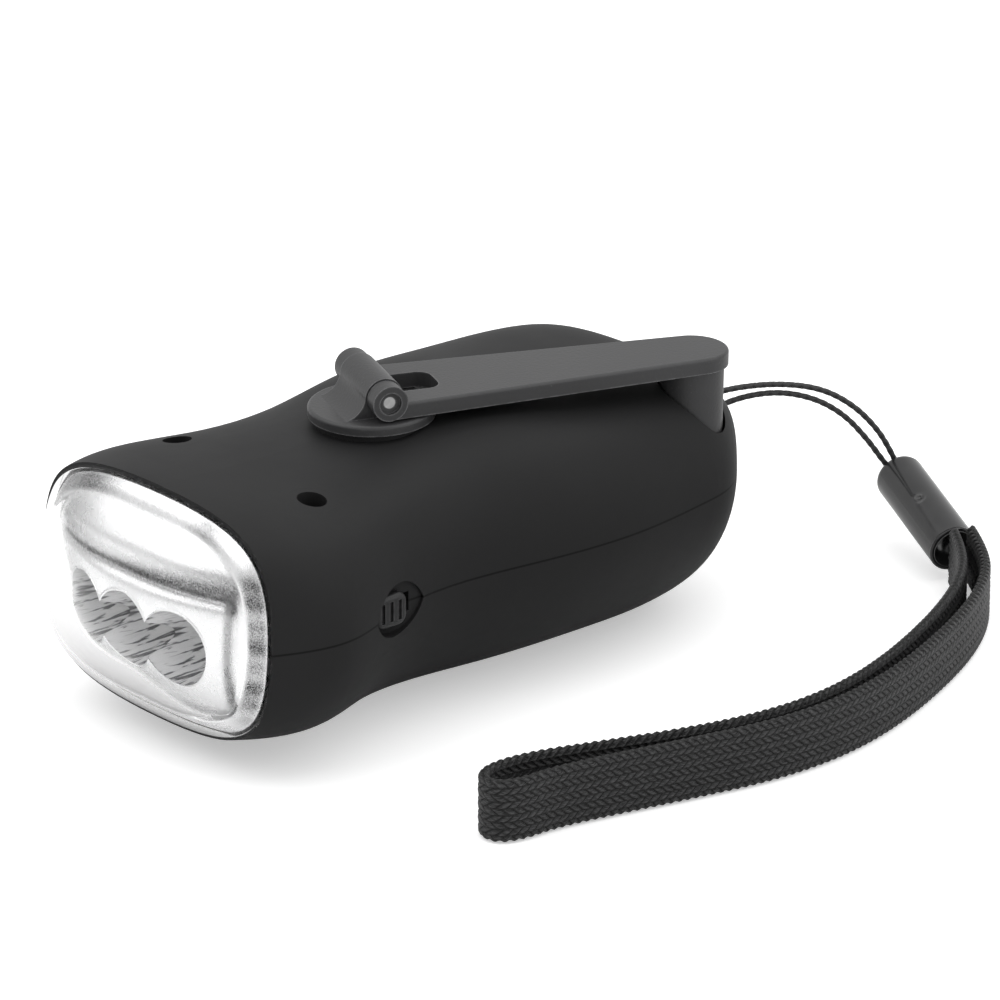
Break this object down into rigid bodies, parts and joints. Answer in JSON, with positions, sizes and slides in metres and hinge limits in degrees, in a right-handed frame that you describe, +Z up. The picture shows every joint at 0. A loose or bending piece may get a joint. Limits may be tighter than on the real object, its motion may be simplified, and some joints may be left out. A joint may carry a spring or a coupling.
{
  "type": "hand crank flashlight",
  "caption": "Hand-held flashlight with a clear front over small lamps, a folding crank on top that drives a geared generator, a side slide switch and a wrist strap at its tail.",
  "frame": {"origin": "on the surface that the flashlight stands on, in the flat of its belly", "axes": "-Y out of the lens, +Y to the tail, +X to the switch side, +Z up"},
  "size_m": [0.0957, 0.1422, 0.0465],
  "materials": {
    "housing_black": "fine matte moulded ABS",
    "clear_lens": "clear moulded acrylic, frosted at its border",
    "reflector_silver": "satin vacuum-metallised plastic",
    "led_clear": "clear epoxy",
    "board_green": "solder mask",
    "switch_steel": "tinned sheet steel",
    "part_black": "moulded",
    "cell_nickel": "nickel-plated steel",
    "screw_steel": "zinc-plated steel",
    "gear_white": "natural acetal",
    "core_steel": "laminated electrical steel",
    "copper_wire": "enamelled copper wire",
    "strap_black": "braided polyester",
    "ferrule_black": "smooth glossy plastic",
    "crank_grey": "satin dark grey nylon, fine grain",
    "pin_steel": "ground steel",
    "button_black": "satin",
    "magnet_dark": "bonded ferrite"
  },
  "bodies": {
    "housing": {"upper_housing": "housing_black", "lower_housing": "housing_black", "lens": "clear_lens", "reflector": "reflector_silver", "led_left": "led_clear", "led_middle": "led_clear", "led_right": "led_clear", "led_board": "board_green", "slide_switch": "switch_steel", "circuit_board": "board_green", "capacitor": "part_black", "charge_chip": "part_black", "battery_cells": "cell_nickel", "battery_tabs": "cell_nickel", "housing_screws": "screw_steel", "gear_cage": "gear_white", "gear_cover": "gear_white", "gear_axles": "screw_steel", "gearbox_screws": "screw_steel", "stator_core": "core_steel", "coil_bobbin": "gear_white", "coil_winding": "copper_wire", "strap_string": "strap_black", "strap_webbing": "strap_black", "strap_ferrule": "ferrule_black"},
    "crank": {"crank_hub": "crank_grey", "hub_clip": "screw_steel", "hub_screw": "screw_steel", "clutch_pawls": "gear_white"},
    "arm": {"crank_arm": "crank_grey", "hinge_pin": "pin_steel", "knob_screw": "screw_steel"},
    "knob": {"crank_knob": "crank_grey"},
    "button": {"switch_button": "button_black", "switch_lever": "part_black"},
    "drive_gear": {"drive_gear": "gear_white"},
    "first_gear": {"compound_gear_1": "gear_white"},
    "second_gear": {"compound_gear_2": "gear_white"},
    "rotor": {"rotor_shaft": "pin_steel", "rotor_pinion": "gear_white", "rotor_magnet": "magnet_dark"}
  },
  "joints": [
    {"name": "crank_turn", "type": "hinge", "parent": "housing", "child": "crank", "pos_m": [0, -0.00947, 0.0393], "axis": [0, 0, 1], "range_deg": [-0.3, 0.3]},
    {"name": "crank_fold", "type": "hinge", "parent": "crank", "child": "arm", "pos_m": [0, -0.00947, 0.0437], "axis": [0.9336, -0.3584, 0], "range_deg": [0, 180]},
    {"name": "knob_spin", "type": "hinge", "parent": "arm", "child": "knob", "pos_m": [0.01756, 0.03627, 0.04285], "axis": [0.0063, 0.0163, 0.9998], "continuous": true},
    {"name": "switch_slide", "type": "slide", "parent": "housing", "child": "button", "axis": [0, 1, 0], "range_m": [0, 0.0025]},
    {"name": "drive_gear_spin", "type": "hinge", "parent": "housing", "child": "drive_gear", "pos_m": [0, -0.00947, 0.029], "axis": [0, 0, 1], "continuous": true},
    {"name": "first_gear_spin", "type": "hinge", "parent": "housing", "child": "first_gear", "pos_m": [-0.00634, 0.00413, 0.027], "axis": [0, 0, 1], "continuous": true},
    {"name": "second_gear_spin", "type": "hinge", "parent": "housing", "child": "second_gear", "pos_m": [0.00176, 0.01378, 0.025], "axis": [0, 0, 1], "continuous": true},
    {"name": "rotor_spin", "type": "hinge", "parent": "housing", "child": "rotor", "pos_m": [-0.00003, 0.02564, 0.013], "axis": [0, 0, 1], "continuous": true}
  ],
  "couplings": [
    {"joint": "second_gear_spin", "follows": "rotor_spin", "ratio": -0.33333},
    {"joint": "first_gear_spin", "follows": "rotor_spin", "ratio": 0.10417},
    {"joint": "drive_gear_spin", "follows": "rotor_spin", "ratio": -0.026042}
  ]
}
